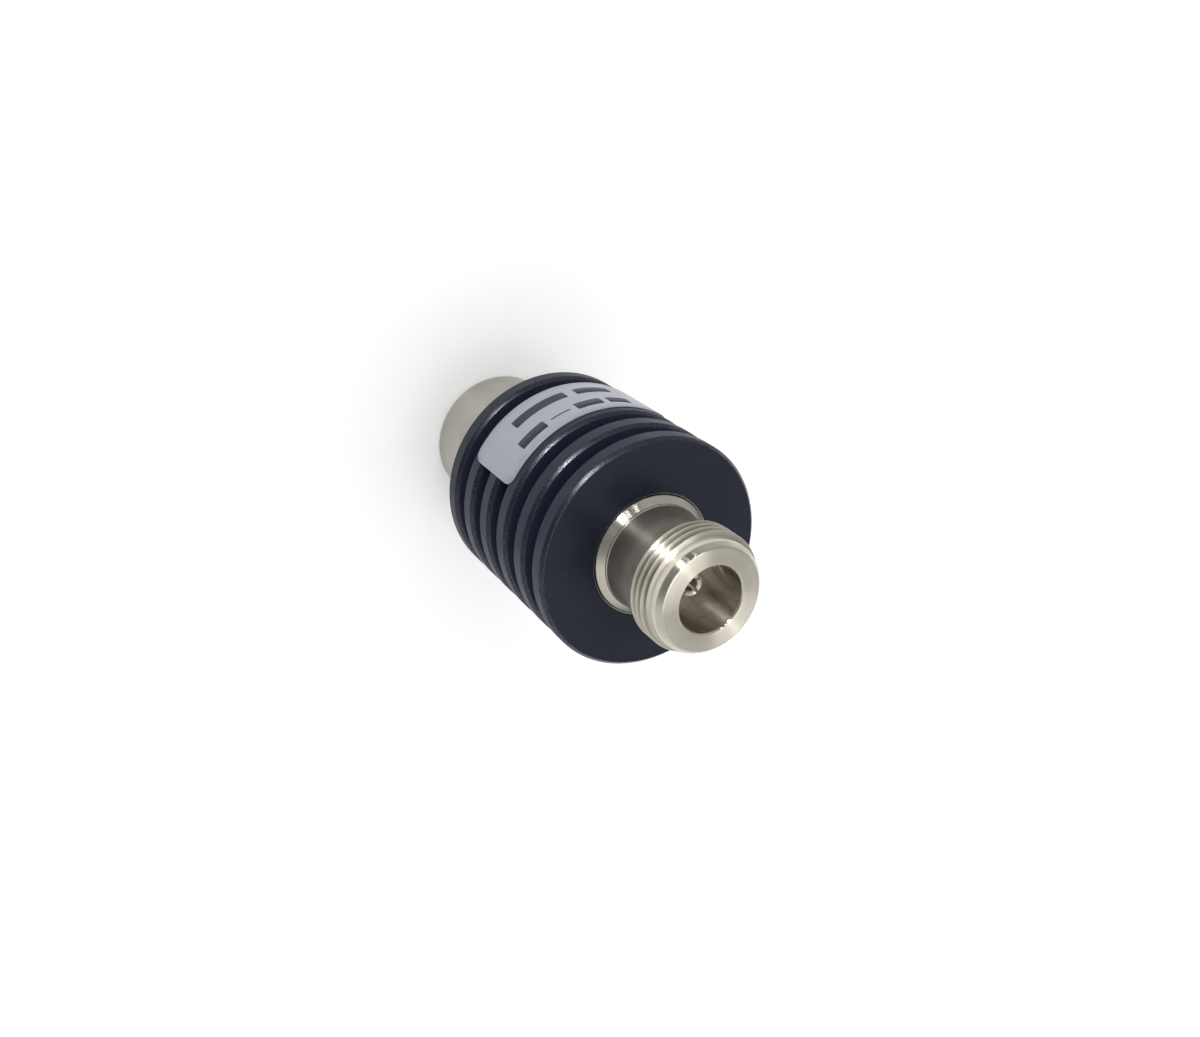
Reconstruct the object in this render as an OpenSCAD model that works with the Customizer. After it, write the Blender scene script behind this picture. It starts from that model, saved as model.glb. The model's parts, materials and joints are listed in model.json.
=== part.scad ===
// RF attenuator: a finned heat sink with a screw-coupled jack at the top and a plug with a free coupling nut at the bottom.
// Millimetres. The axis is Z. z = 0 is the rim of the coupling nut, on which the part stands, and +Z points to the jack.
// The rating label faces -Y.

/* [View] */

/* [Heat sink] */
heat_sink_d = 30.5;
fin_count = 6;
fin_pitch = 5.09;
fin_t = 2.3;
fin_chamfer = 0.45;       // front edge of every fin
fin_rear_break = 0.1;
fin_root_corner = 0.4;    // flat in the corner of each groove
core_wall = 2.53;         // metal between the jack's bore and the grooves
bore_edge = 0.2;
front_bore_edge = 0.15;   // bare edge seen round the jack

/* [Label] */
label_first_fin = 1;
label_last_fin = 3;
label_start = 0.46;       // from the rear face of its first fin
label_end = 0.78;         // from the rear face of its last fin
label_arc = 98;           // degrees round the fins
label_mid = -90;          // its middle faces -Y
label_t = 0.12;
label_corner = 1.4;
label_corner_cross = 0.03; // the corner's round crosses the edges instead of touching them

/* [Coupling: sizes of the series, shared by jack and plug] */
thread_d = 15.7;          // 5/8-24 UNEF, crests
thread_depth = 0.65;
line_d = 7;               // inside of the outer conductor
contact_d = 3.04;
pin_d = 1.64;
plug_contact_d = 8.1;     // outside of the plug's outer contact
jack_depth = 9.1;         // jack's rim to its reference shoulder

/* [Jack] */
jack_seat_depth = 4;      // its shoulder, below the front fin's face
jack_spigot_l = 2.9;
collar_d = 15.7;
collar_h = 0.1;           // above the front fin's face
bevel = 0.85;             // from the collar in to the step
bevel_h = 0.7;
step_h = 0.2;
neck_d = 13.6;
neck_l = 7.1;
thread_l = 3.2;
pilot_l = 1.3;
rim_chamfer = 0.65;
rim_chamfer_h = 0.8;
jack_mouth_edge = 0.2;
socket_reach = 4.95;      // tip ahead of the reference shoulder
socket_bore_l = 5.75;
socket_slot_l = 4.75;
socket_slot_w = 0.3;
socket_slot_turn = 25;
socket_edge = 0.25;
jack_line_l = 2.8;        // reference shoulder to the bead

/* [Plug] */
plug_recess = 1.2;        // end of the outer contact, behind the nut's rim
plug_end_edge = 0.2;
plug_slot_w = 0.35;
plug_slot_l = 5.8;
plug_slot_turn = 45;
plug_shoulder_edge = 0.2;
plug_flange_step = 1.1;
plug_flange_t = 0.85;
plug_spigot_l = 6.25;
plug_bead_depth = 1.3;    // shoulder to the bead
pin_recess = 0.4;         // pin's tip behind the outer contact's end
pin_shoulder_depth = 5.3;
pin_tip_d = 0.6;
pin_tip_l = 1.1;

/* [Coupling nut] */
nut_wall = 1.5;           // outside its thread relief
nut_edge = 0.3;
nut_thread_end = 2.15;    // from the shoulder's gasket face to the end of the thread
lip_front_t = 1.55;
lip_back_t = 0.95;
nut_groove_depth = 0.6;
nut_float = 0.8;          // axial play of the nut

/* [Retaining ring and gasket] */
ring_t = 1;
ring_gap = 1.6;
plug_groove_depth = 0.75;
gasket_h = 1.5;
gasket_w = 1.45;          // from its bore to its rim
gasket_squeeze = 0.1;

/* [Spigots, beads and bushings] */
spigot_d = 13;            // jack, plug and carrier share one bore
bead_step = 0.9;          // bead over the line's bore, each side
bead_h = 3;
stem_step = 0.37;
stem_slot_l = 1.6;
plug_stem_back = 1.7;     // stem's end to the carrier
jack_stem_back = 1.9;

/* [Element] */
channel_w = 6.4;
channel_h = 3;
chip_w = 9;
chip_t = 1;
chip_end = 1;             // carrier's end to the tile
tab_w = 1.2;
tab_t = 0.2;
tab_on_chip = 1.7;

/* [Clearances] */
label_adhesive = 0.02;    // label to the fins
collar_gap = 0.12;        // jack's collar in the heat sink, each side
spigot_gap = 0.05;        // spigots and carrier in the heat sink, each side
running_gap = 0.05;       // ring in its grooves, end to end
ring_side_gap = 0.1;      // ring over the plug's groove, each side
ring_out_gap = 0.15;      // ring in the nut's groove, each side
lip_gap = 0.25;           // nut's lip round the plug, each side
nut_back_gap = 0.7;       // nut to the flange
nut_lip_gap = 0.1;        // lip to the shoulder at the end of the float
nut_thread_gap = 0.25;    // relief over the thread's crests, each side
nut_lead_gap = 0.2;       // lead-in over the thread's crests, each side
thread_engage = 0.4;      // nut's crests inside the jack's, each side
mating_gap = 0.2;         // outer contact in the jack's bore, each side
pin_gap = 0.02;           // pin in the socket, each side
gasket_inset = 0.1;       // gasket inside the shoulder, each side
bead_gap = 0.05;          // bead and bushing in their recess, stem in its bead, each side
chip_gap = 0.05;          // tile in its pocket, each side
tab_gap = 0.05;           // tab in its slot, each side
tab_end_gap = 0.1;        // tab to the bottom of its slot
carrier_gap = 0.1;        // ends of the carrier

/* [Hidden] */
$fn = 96;

// plug and nut, up from the rim
plug_end_z = plug_recess;
gasket_z = plug_end_z + jack_depth - gasket_squeeze;
plug_shoulder_z = gasket_z + gasket_h;
nut_thread_z = plug_shoulder_z - nut_thread_end;
nut_lip_z = plug_shoulder_z + nut_float + nut_lip_gap;
nut_groove_z = nut_lip_z + lip_front_t;
ring_z = nut_groove_z + running_gap;
ring_top_z = ring_z + ring_t;
nut_groove_top = ring_top_z + running_gap;
nut_h = nut_groove_top + lip_back_t;
flange_z = nut_h + nut_back_gap;
plug_bead_z = plug_shoulder_z + plug_bead_depth;
pin_tip_z = plug_end_z + pin_recess;
pin_shoulder_z = plug_end_z + pin_shoulder_depth;

// heat sink
heat_sink_z = flange_z + plug_flange_t;
heat_sink_top = heat_sink_z + (fin_count - 1) * fin_pitch + fin_t;
bore_d = spigot_d + 2 * spigot_gap;
front_bore_d = collar_d + 2 * collar_gap;
fin_root_d = front_bore_d + 2 * core_wall;
label_z = heat_sink_z + label_first_fin * fin_pitch + label_start;
label_w = (label_last_fin - label_first_fin) * fin_pitch + label_end - label_start;

// jack, up from its seat
jack_seat_z = heat_sink_top - jack_seat_depth;
jack_spigot_z = jack_seat_z - jack_spigot_l;
collar_top_z = heat_sink_top + collar_h;
step_d = collar_d - 2 * bevel;
step_top_z = collar_top_z + bevel_h + step_h;
thread_z = step_top_z + neck_l;
thread_end_z = thread_z + thread_l;
pilot_d = thread_d - 2 * thread_depth;
pilot_top_z = thread_end_z + pilot_l;
rim_d = pilot_d - 2 * rim_chamfer;
jack_rim_z = pilot_top_z + rim_chamfer_h;
jack_bore_d = plug_contact_d + 2 * mating_gap;
reference_z = jack_rim_z - jack_depth;
socket_tip_z = reference_z + socket_reach;
socket_bore_d = pin_d + 2 * pin_gap;
jack_bead_z = reference_z - jack_line_l - bead_h;

// nut and ring across
nut_thread_d = thread_d - 2 * thread_engage;
nut_lead_d = thread_d + 2 * nut_lead_gap;
nut_relief_d = thread_d + 2 * nut_thread_gap;
nut_d = nut_relief_d + 2 * nut_wall;
nut_lip_d = spigot_d + 2 * lip_gap;
nut_groove_d = nut_lip_d + 2 * nut_groove_depth;
plug_groove_d = spigot_d - 2 * plug_groove_depth;
ring_in_d = plug_groove_d + 2 * ring_side_gap;
ring_out_d = nut_groove_d - 2 * ring_out_gap;
plug_flange_d = spigot_d + 2 * plug_flange_step;

// inside
stem_d = contact_d - 2 * stem_step;
bead_d = line_d + 2 * bead_step;
recess_d = bead_d + 2 * bead_gap;
plug_spigot_z = heat_sink_z + plug_spigot_l;
carrier_z = plug_spigot_z + carrier_gap;
carrier_top = jack_spigot_z - carrier_gap;
plug_stem_end_z = carrier_z - plug_stem_back;
jack_stem_end_z = carrier_top + jack_stem_back;
chip_z = carrier_z + chip_end;
chip_l = carrier_top - carrier_z - 2 * chip_end;

function arc_points(cx, cz, r, a0, a1, n = 12) = [for (i = [0:n]) let (a = a0 + (a1 - a0) * i / n) [cx + r * cos(a), cz + r * sin(a)]];

module turned(profile) {
    rotate_extrude() polygon(profile);
}

module tube(d_out, d_in, z0, z1) {
    translate([0, 0, z0]) difference() {
        cylinder(d = d_out, h = z1 - z0);
        translate([0, 0, -1]) cylinder(d = d_in, h = z1 - z0 + 2);
    }
}

module cross_slots(w, reach, z0, z1, turn) {
    for (a = [0, 90]) rotate([0, 0, turn + a]) translate([-reach, -w / 2, z0]) cube([2 * reach, w, z1 - z0]);
}

// outline of one fin and of the groove after it, from the rear face on
function fin_points(i) = let (z = heat_sink_z + i * fin_pitch, r = heat_sink_d / 2, root = fin_root_d / 2) concat(
    [[r - fin_rear_break, z], [r, z + fin_rear_break], [r, z + fin_t - fin_chamfer], [r - fin_chamfer, z + fin_t]],
    i == fin_count - 1 ? [] : [[root + fin_root_corner, z + fin_t], [root, z + fin_t + fin_root_corner],
        [root, z + fin_pitch - fin_root_corner], [root + fin_root_corner, z + fin_pitch]]);

module heat_sink() {
    color([0.16, 0.16, 0.19]) turned(concat(
        [[bore_d / 2, heat_sink_z + bore_edge], [bore_d / 2 + bore_edge, heat_sink_z]],
        [for (i = [0:fin_count - 1]) each fin_points(i)],
        [[front_bore_d / 2 + front_bore_edge, heat_sink_top], [front_bore_d / 2, heat_sink_top - front_bore_edge],
            [front_bore_d / 2, jack_seat_z], [bore_d / 2, jack_seat_z]]));
}

module label_corner_cut(end, up) {
    r = heat_sink_d / 2 + label_adhesive;
    turn = label_mid + end * (label_arc / 2 - label_corner / r * 180 / PI);
    z = up > 0 ? label_z + label_w - label_corner : label_z + label_corner;
    rotate([0, 0, turn]) translate([r, 0, z]) rotate([0, 90, 0]) difference() {
        translate([up > 0 ? -2 * label_corner : 0, end > 0 ? 0 : -2 * label_corner, -1]) cube([2 * label_corner, 2 * label_corner, 2]);
        translate([0, 0, -2]) cylinder(r = label_corner + label_corner_cross, h = 4);
    }
}

module rating_label() {
    r = heat_sink_d / 2 + label_adhesive;
    color([0.66, 0.67, 0.71]) difference() {
        rotate([0, 0, label_mid - label_arc / 2]) rotate_extrude(angle = label_arc) translate([r, label_z]) square([label_t, label_w]);
        for (end = [-1, 1], up = [-1, 1]) label_corner_cut(end, up);
    }
}

module jack_body() {
    neck_fillet = (step_d - neck_d) / 2;
    neck_z = step_top_z + neck_fillet;
    color([0.72, 0.7, 0.64]) turned(concat(
        [[recess_d / 2, jack_spigot_z], [spigot_d / 2, jack_spigot_z], [spigot_d / 2, jack_seat_z], [collar_d / 2, jack_seat_z],
            [collar_d / 2, collar_top_z], [step_d / 2, collar_top_z + bevel_h]],
        arc_points(neck_d / 2 + neck_fillet, neck_z, neck_fillet, 270, 180),
        [[neck_d / 2, thread_z - (thread_d - neck_d) / 4], [thread_d / 2, thread_z], [thread_d / 2, thread_end_z],
            [pilot_d / 2, thread_end_z + thread_depth / 2], [pilot_d / 2, pilot_top_z], [rim_d / 2, jack_rim_z],
            [jack_bore_d / 2 + jack_mouth_edge, jack_rim_z], [jack_bore_d / 2, jack_rim_z - jack_mouth_edge],
            [jack_bore_d / 2, reference_z], [line_d / 2, reference_z],
            [line_d / 2, jack_bead_z + bead_h], [recess_d / 2, jack_bead_z + bead_h]]));
}

module jack_contact() {
    color([0.86, 0.78, 0.55]) difference() {
        turned([[0, jack_stem_end_z], [stem_d / 2, jack_stem_end_z], [stem_d / 2, jack_bead_z + bead_h], [contact_d / 2, jack_bead_z + bead_h],
            [contact_d / 2, socket_tip_z - socket_edge], [contact_d / 2 - socket_edge, socket_tip_z],
            [socket_bore_d / 2 + socket_edge, socket_tip_z], [socket_bore_d / 2, socket_tip_z - socket_edge], [socket_bore_d / 2, socket_tip_z - socket_bore_l], [0, socket_tip_z - socket_bore_l - socket_bore_d / 4]]);
        cross_slots(socket_slot_w, contact_d, socket_tip_z - socket_slot_l, socket_tip_z + 1, socket_slot_turn);
        stem_slot(jack_stem_end_z, 1);
    }
}

module stem_slot(z, up) {
    translate([-stem_d, chip_t / 2 - tab_gap, up > 0 ? z - 1 : z - stem_slot_l]) cube([2 * stem_d, tab_t + 2 * tab_gap, stem_slot_l + 1]);
}

module bead(z) {
    color([0.93, 0.92, 0.88]) tube(bead_d, stem_d + 2 * bead_gap, z, z + bead_h);
}

module jack_insulator() bead(jack_bead_z);

module plug_insulator() bead(plug_bead_z);

module jack_bushing() {
    color([0.76, 0.66, 0.4]) tube(bead_d, line_d, jack_spigot_z, jack_bead_z);
}

module plug_bushing() {
    color([0.76, 0.66, 0.4]) tube(bead_d, line_d, plug_bead_z + bead_h, plug_spigot_z);
}

module plug_body() {
    groove_z0 = ring_z - nut_float - running_gap;
    groove_z1 = ring_top_z + running_gap;
    color([0.72, 0.7, 0.64]) difference() {
        turned([[line_d / 2, plug_end_z], [plug_contact_d / 2 - plug_end_edge, plug_end_z], [plug_contact_d / 2, plug_end_z + plug_end_edge],
            [plug_contact_d / 2, plug_shoulder_z], [spigot_d / 2 - plug_shoulder_edge, plug_shoulder_z], [spigot_d / 2, plug_shoulder_z + plug_shoulder_edge],
            [spigot_d / 2, groove_z0], [plug_groove_d / 2, groove_z0], [plug_groove_d / 2, groove_z1], [spigot_d / 2, groove_z1],
            [spigot_d / 2, flange_z], [plug_flange_d / 2 - bore_edge, flange_z], [plug_flange_d / 2, flange_z + bore_edge], [plug_flange_d / 2, heat_sink_z],
            [spigot_d / 2, heat_sink_z], [spigot_d / 2, plug_spigot_z], [recess_d / 2, plug_spigot_z],
            [recess_d / 2, plug_bead_z], [line_d / 2, plug_bead_z]]);
        cross_slots(plug_slot_w, plug_contact_d, plug_end_z - 1, plug_end_z + plug_slot_l, plug_slot_turn);
    }
}

module plug_contact() {
    color([0.86, 0.78, 0.55]) difference() {
        turned([[0, pin_tip_z], [pin_tip_d / 2, pin_tip_z], [pin_d / 2, pin_tip_z + pin_tip_l], [pin_d / 2, pin_shoulder_z], [contact_d / 2, pin_shoulder_z],
            [contact_d / 2, plug_bead_z], [stem_d / 2, plug_bead_z], [stem_d / 2, plug_stem_end_z], [0, plug_stem_end_z]]);
        stem_slot(plug_stem_end_z, -1);
    }
}

module coupling_nut() {
    color([0.68, 0.67, 0.63]) turned([[nut_lead_d / 2, 0], [nut_d / 2 - nut_edge, 0], [nut_d / 2, nut_edge], [nut_d / 2, nut_h - nut_edge], [nut_d / 2 - nut_edge, nut_h],
        [nut_lip_d / 2, nut_h], [nut_lip_d / 2, nut_groove_top], [nut_groove_d / 2, nut_groove_top], [nut_groove_d / 2, nut_groove_z], [nut_lip_d / 2, nut_groove_z],
        [nut_lip_d / 2, nut_lip_z], [nut_relief_d / 2, nut_lip_z], [nut_relief_d / 2, nut_thread_z + (nut_relief_d - nut_thread_d) / 2],
        [nut_thread_d / 2, nut_thread_z], [nut_thread_d / 2, (nut_lead_d - nut_thread_d) / 2]]);
}

module retaining_ring() {
    color([0.62, 0.55, 0.4]) difference() {
        tube(ring_out_d, ring_in_d, ring_z, ring_top_z);
        translate([0, -ring_gap / 2, ring_z - 1]) cube([ring_out_d, ring_gap, ring_t + 2]);
    }
}

module gasket() {
    rim_d = spigot_d - 2 * gasket_inset;
    color([0.62, 0.2, 0.14]) tube(rim_d, rim_d - 2 * gasket_w, gasket_z, plug_shoulder_z);
}

module carrier_half(side) {
    intersection() {
        translate([0, 0, carrier_z]) cylinder(d = spigot_d, h = carrier_top - carrier_z);
        translate([-spigot_d, side > 0 ? 0 : -spigot_d, carrier_z - 1]) cube([2 * spigot_d, spigot_d, carrier_top - carrier_z + 2]);
    }
}

module chip_pocket(up) {
    translate([-chip_w / 2 - chip_gap, up > 0 ? -1 : -chip_t / 2, chip_z - chip_gap]) cube([chip_w + 2 * chip_gap, chip_t / 2 + 1 + (up > 0 ? chip_gap : 0), chip_l + 2 * chip_gap]);
}

module carrier_upper() {
    color([0.74, 0.73, 0.7]) difference() {
        carrier_half(1);
        chip_pocket(1);
        translate([-channel_w / 2, -1, carrier_z - 1]) cube([channel_w, channel_h + 1, carrier_top - carrier_z + 2]);
    }
}

module carrier_lower() {
    color([0.74, 0.73, 0.7]) difference() {
        carrier_half(-1);
        chip_pocket(-1);
    }
}

module attenuator_chip() {
    color([0.9, 0.89, 0.85]) translate([-chip_w / 2, -chip_t / 2, chip_z]) cube([chip_w, chip_t, chip_l]);
}

module tab(z0, z1) {
    color([0.8, 0.66, 0.36]) translate([-tab_w / 2, chip_t / 2, z0]) cube([tab_w, tab_t, z1 - z0]);
}

module jack_tab() tab(chip_z + chip_l - tab_on_chip, jack_stem_end_z + stem_slot_l - tab_end_gap);

module plug_tab() tab(plug_stem_end_z - stem_slot_l + tab_end_gap, chip_z + tab_on_chip);

heat_sink();
rating_label();
jack_body();
jack_insulator();
jack_contact();
jack_bushing();
plug_body();
plug_insulator();
plug_contact();
plug_bushing();
coupling_nut();
retaining_ring();
gasket();
carrier_upper();
carrier_lower();
attenuator_chip();
jack_tab();
plug_tab();
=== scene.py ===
"""RF attenuator: a finned black heat sink, a threaded jack above it and a plug with a free nut below.

Millimetres in the tables, metres in Blender. The axis is Z, and the rating label faces -Y.
"""
import json
import math

import bpy
from mathutils import Matrix, Vector


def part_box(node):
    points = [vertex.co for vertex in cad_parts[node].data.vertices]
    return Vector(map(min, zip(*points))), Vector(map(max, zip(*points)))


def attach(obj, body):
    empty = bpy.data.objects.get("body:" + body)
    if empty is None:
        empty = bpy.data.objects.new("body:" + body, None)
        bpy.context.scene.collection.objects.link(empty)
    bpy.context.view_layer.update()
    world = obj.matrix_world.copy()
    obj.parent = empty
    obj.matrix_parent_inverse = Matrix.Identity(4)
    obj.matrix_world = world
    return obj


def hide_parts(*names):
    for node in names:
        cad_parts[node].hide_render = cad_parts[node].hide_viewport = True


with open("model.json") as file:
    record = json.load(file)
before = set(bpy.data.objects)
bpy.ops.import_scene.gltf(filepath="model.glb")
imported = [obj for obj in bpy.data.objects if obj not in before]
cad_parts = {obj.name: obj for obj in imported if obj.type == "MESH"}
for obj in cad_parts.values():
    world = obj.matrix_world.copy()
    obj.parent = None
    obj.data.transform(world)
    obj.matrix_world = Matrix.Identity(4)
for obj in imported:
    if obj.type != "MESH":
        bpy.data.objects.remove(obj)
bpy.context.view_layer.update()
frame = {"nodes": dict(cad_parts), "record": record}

MM = 0.001
TURN = 2 * math.pi


def heights(node):
    """Lowest and highest point of a CAD node, in millimetres."""
    low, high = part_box(node)
    return low.z / MM, high.z / MM


def radius_of(node):
    """Largest radius of a turned CAD node, in millimetres."""
    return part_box(node)[1].x / MM


# Sizes, in millimetres

SINK_REAR, SINK_FACE = heights("heat_sink")
SINK_R = radius_of("heat_sink")
FIN_COUNT = 6
FIN_PITCH = 5.09
FIN_T = 2.3
FIN_CHAMFER = 0.45
FIN_REAR_BREAK = 0.1
FIN_ROOT_R = 10.5
ROOT_CORNER = 0.4
REAR_BORE_R = 6.55
REAR_BORE_EDGE = 0.2
COLLAR_R = 7.85
COLLAR_GAP = 0.12
FACE_BORE_R = COLLAR_R + COLLAR_GAP
FACE_BORE_EDGE = 0.15
JACK_SEAT = SINK_FACE - 4.0

JACK_FOOT, JACK_RIM = heights("jack_body")
COLLAR_TOP = SINK_FACE + 0.1
STEP_R = 7.0
STEP_LOW, STEP_HIGH = COLLAR_TOP + 0.7, COLLAR_TOP + 0.9
NECK_R = 6.8
THREAD_R = 7.85
THREAD_PITCH = 25.4 / 24
THREAD_DEPTH = 0.6
THREAD_FADE = 0.9
THREAD_LEAD = 0.55
JACK_THREAD_LOW, JACK_THREAD_HIGH = JACK_RIM - 5.3, JACK_RIM - 2.1
JACK_THREAD_START = JACK_THREAD_LOW - 0.4
JACK_THREAD_STEP = 0.035
PILOT_R = 7.2
PILOT_LOW, PILOT_HIGH = JACK_THREAD_HIGH + 0.33, JACK_RIM - 0.8
RIM_R, RIM_EDGE_R = 6.5, 6.66
RIM_EDGE = 0.1
MOUTH_R = 4.25
MOUTH_EDGE = 0.2
LINE_R = 3.5
JACK_SHOULDER = JACK_RIM - 9.1
JACK_BEAD = JACK_RIM - 11.9
BEAD_RECESS_R = 4.45
SPIGOT_R = 6.5

PLUG_END, PLUG_TOP = heights("plug_body")
PLUG_CONTACT_R = 4.05
PLUG_SHOULDER = heights("gasket")[1]
PLUG_EDGE = 0.2
PLUG_SLOT_TOP = PLUG_END + 5.8
PLUG_SLOT_W = 0.35
PLUG_SLOT_TURN = 45
PLUG_FLANGE_R = radius_of("plug_body")
PLUG_BEAD = heights("plug_insulator")[0]
RING_LOW, RING_HIGH = heights("retaining_ring")
RING_PLAY = 0.05
RING_GROOVE_LOW = RING_LOW - 0.85
RING_GROOVE_R = SPIGOT_R - 0.75
GASKET_OUT_R, GASKET_IN_R = SPIGOT_R - 0.1, SPIGOT_R - 1.55

SOCKET_FOOT, SOCKET_TIP = heights("jack_contact")
SOCKET_BORE_R = 0.84
SOCKET_BORE_FOOT = SOCKET_TIP - 5.75
SOCKET_DRILL_POINT = 0.4
SOCKET_EDGE = 0.25
SOCKET_SLOT_FOOT = SOCKET_TIP - 4.75
SOCKET_SLOT_W = 0.3
SOCKET_SLOT_TURN = 25
PIN_TIP, PIN_END = heights("plug_contact")
PIN_R, PIN_TIP_R = 0.82, 0.3
PIN_TAPER = 1.1
PIN_SHOULDER = PLUG_END + 5.3
CONTACT_R = radius_of("jack_contact")
CONTACT_SEGMENTS = 96
STEM_R = 1.15
STEM_SLOT_L = 1.6
TAB_GAP = 0.05
SAW_RUNOUT = 1.0

NUT_TOP = heights("coupling_nut")[1]
NUT_FLANGE = NUT_TOP + 0.7
NUT_R = radius_of("coupling_nut")
NUT_EDGE = 0.3
NUT_LEAD_R, NUT_LEAD_H = 8.05, 0.6
NUT_CREST_R, NUT_ROOT_R = 7.45, 7.95
NUT_THREAD_TOP = 9.55
NUT_THREAD_STEP = 0.06
NUT_RELIEF_R = 8.1
NUT_RELIEF_LOW = NUT_THREAD_TOP + NUT_RELIEF_R - NUT_CREST_R
NUT_LIP_R = 6.75
NUT_LIP_LOW = RING_LOW - 1.6
NUT_GROOVE_R = 7.35

LABEL_LOW, LABEL_HIGH = heights("rating_label")
LABEL_IN_R, LABEL_OUT_R = SINK_R + 0.02, SINK_R + 0.14
LABEL_MID, LABEL_ARC = -90.0, 98.0
LABEL_CORNER = 1.4
CORNER_STEPS = 12
INK_T = 0.006
INK_CORNER = 0.22
# Plain printed bars in two lines: start angle, end angle, low and high edge
INK_BARS = [
    (-75, -59, 30.1, 32.0),
    (-89, -78, 30.9, 31.2),
    (-106, -92, 30.1, 32.0),
    (-121, -109, 30.1, 32.0),
    (-95, -65, 25.6, 27.5),
    (-119, -100, 25.6, 27.5),
]

FILM_T = 0.02
FILM_SIDE, FILM_END = 1.5, 2.0
TRIM_W, TRIM_L = 0.15, 2.2


# Section outlines
#
# A turned piece starts as a closed list of corners: radius, height, ease and the zone of the surface that
# follows, "plain" where none is given. The ease is how far the rounding of the corner reaches.
# A zone is (land, chamfer, groove). Each row of the piece keeps it for the material.

ZONES = {
    "plain": (0, 0, 0),
    "land": (1, 0, 0),
    "chamfer": (0, 1, 0),
    "groove": (0, 0, 1),
    "bare": (1, 1, 0),
    # painted shade: the chamfer share darkens the neck's nickel plate
    "neck": (0, 1, 0.2),
    "neck_top": (0, 0.6, 0.1),
    "thread": (1.4, 0, 0),
}
ROOT_TONE = 0.5  # chamfer share in the root of a thread
MOST_OF_EDGE = 0.45  # share of an edge that a rounding may take
SHARP = 1e-4  # shorter roundings are left out
TOUCH = 0.02  # just clear of a surface
ROUND_STEPS = 4


def eased(corners, steps=ROUND_STEPS):
    """Rows of a closed section with its corners rounded. A row is (radius, height, zone and corner share)."""
    outline = [(*corner, "plain")[:4] for corner in corners]
    rows = []
    for i, (r, z, ease, zone) in enumerate(outline):
        here = Vector((r, z))
        back = Vector(outline[i - 1][:2]) - here
        on = Vector(outline[(i + 1) % len(outline)][:2]) - here
        reach = min(ease, MOST_OF_EDGE * back.length, MOST_OF_EDGE * on.length)
        zone_in, zone_out = Vector(ZONES[outline[i - 1][3]]), Vector(ZONES[zone])
        if reach < SHARP:
            rows.append((r, z, (*zone_out, 0.0)))
            continue
        start = here + back.normalized() * reach
        end = here + on.normalized() * reach
        for k in range(steps + 1):
            t = k / steps
            p = start * (1 - t) ** 2 + here * (2 * t * (1 - t)) + end * t ** 2
            rows.append((p.x, p.y, (*zone_in.lerp(zone_out, t), 4 * t * (1 - t))))
    return rows


def thread_share(z, angle):
    """How deep a rounded thread is cut at a height and an angle: 0 on the crest, 1 in the root."""
    turns = z / THREAD_PITCH - angle / TURN
    t = 1 - abs(turns % 1.0 - 0.5) * 2
    crest, root = 0.06, 0.92
    flank = min(1.0, max(0.0, (t - crest) / (root - crest)))
    return flank * flank * (3 - 2 * flank)


def cut_thread(rows, first, last, crest_r, depth, step, fade=0.0, inside=False):
    """Cuts a screw thread into the rows from first to last. It fades in over a length from the lower end."""
    side = -1 if inside else 1
    zone = rows[first][2]
    ends = [rows[i][:2] for i in range(first, last + 1)]
    low, high = ends[0][1], ends[-1][1]
    count = max(2, round(abs(high - low) / step))
    cut = []
    for k in range(count + 1):
        z = low + (high - low) * k / count
        for (r0, z0), (r1, z1) in zip(ends, ends[1:]):
            if min(z0, z1) - 1e-9 <= z <= max(z0, z1) + 1e-9 and z0 != z1:
                blank = r0 + (r1 - r0) * (z - z0) / (z1 - z0)
                break
        deep = depth
        if fade:
            deep = depth * min(1.0, max(0.0, (z - min(low, high)) / fade))

        def radius(a, z=z, blank=blank, deep=deep):
            made = crest_r - side * deep * thread_share(z, a)
            return side * min(side * blank, side * made)

        def tone(a, z=z):
            return (zone[0], max(zone[1], ROOT_TONE * thread_share(z, a)), *zone[2:])

        cut.append((radius, z, tone))
    return rows[:first] + cut + rows[last + 1:]


# Meshes


def new_piece(name, verts, faces, zones=None):
    """A smooth mesh object whose flat faces stay flat beside their rounded edges."""
    mesh = bpy.data.meshes.new(name)
    mesh.from_pydata(verts, [], faces)
    mesh.update()
    mesh.polygons.foreach_set("use_smooth", [True] * len(mesh.polygons))
    if zones:
        layer = mesh.attributes.new("zone", "FLOAT_COLOR", "POINT")
        layer.data.foreach_set("color", [v for zone in zones for v in zone])
    piece = bpy.data.objects.new(name, mesh)
    bpy.context.scene.collection.objects.link(piece)
    weighted = piece.modifiers.new("flat_faces", "WEIGHTED_NORMAL")
    weighted.mode = "FACE_AREA"
    weighted.weight = 50
    return piece


def on_axis(radius):
    """Whether a row is a single point on the axis."""
    return not callable(radius) and radius < 1e-6


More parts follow.
